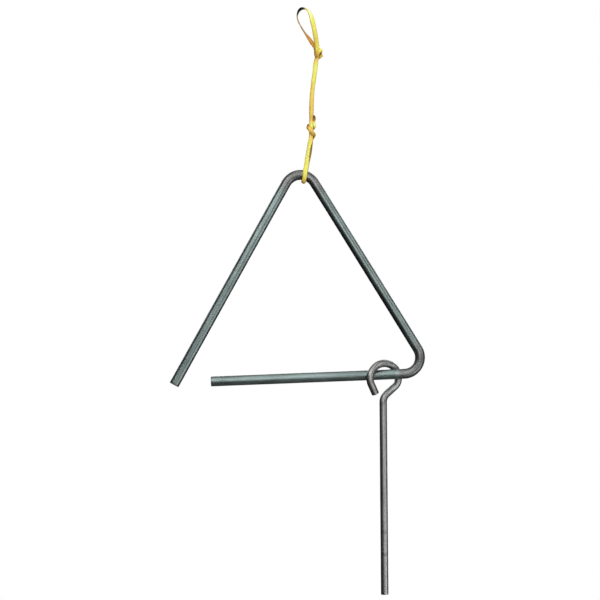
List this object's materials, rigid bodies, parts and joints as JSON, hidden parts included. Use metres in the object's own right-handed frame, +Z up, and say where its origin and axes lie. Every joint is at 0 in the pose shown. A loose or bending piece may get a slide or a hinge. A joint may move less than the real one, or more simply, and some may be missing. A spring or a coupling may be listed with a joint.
{
  "type": "dinner triangle",
  "caption": "Open bent steel bar triangle hung on a knotted leather lace, with a loose bent rod striker hooked on its base bar, rung by hand to call people to a meal.",
  "frame": {"origin": "inside the top of the hanging loop, where a hook or nail carries the part", "axes": "+X to the viewer's right along the base, +Y through the plane of the triangle and away from the viewer, +Z up"},
  "size_m": [0.2553, 0.0266, 0.5873],
  "materials": {
    "bar_steel": "hot-rolled steel with blue-green mill scale, browner where it was bent",
    "striker_steel": "hot-rolled steel rod, dull warm grey scale",
    "lace_leather": "yellow tanned lace, smooth on the grain side and darker on the flesh side"
  },
  "bodies": {
    "hanger": {"hang_loop": "lace_leather", "loop_knot": "lace_leather"},
    "tether": {"tether": "lace_leather"},
    "lower_loop": {"tie_knot": "lace_leather", "apex_loop": "lace_leather"},
    "triangle": {"triangle_bar": "bar_steel"},
    "striker": {"striker": "striker_steel"}
  },
  "joints": [
    {"name": "lace_sway", "type": "hinge", "parent": "hanger", "child": "tether", "pos_m": [0.0118, 0, -0.0513], "axis": [1, 0, 0], "range_deg": [-60, 60]},
    {"name": "lace_twist", "type": "hinge", "parent": "tether", "child": "lower_loop", "pos_m": [0.0066, 0, -0.113], "axis": [-0.0263, 0, 0.9997], "range_deg": [-180, 180], "stiffness_Nm_per_rad": 0.002},
    {"name": "triangle_swing", "type": "hinge", "parent": "lower_loop", "child": "triangle", "pos_m": [0.0004, 0, -0.16545], "axis": [0.9618, 0, -0.2738], "range_deg": [-150, 150]},
    {"name": "striker_swing", "type": "hinge", "parent": "triangle", "child": "striker", "pos_m": [0.07971, 0, -0.36466], "axis": [0.9992, 0, 0.0393], "range_deg": [-165, 165]}
  ]
}
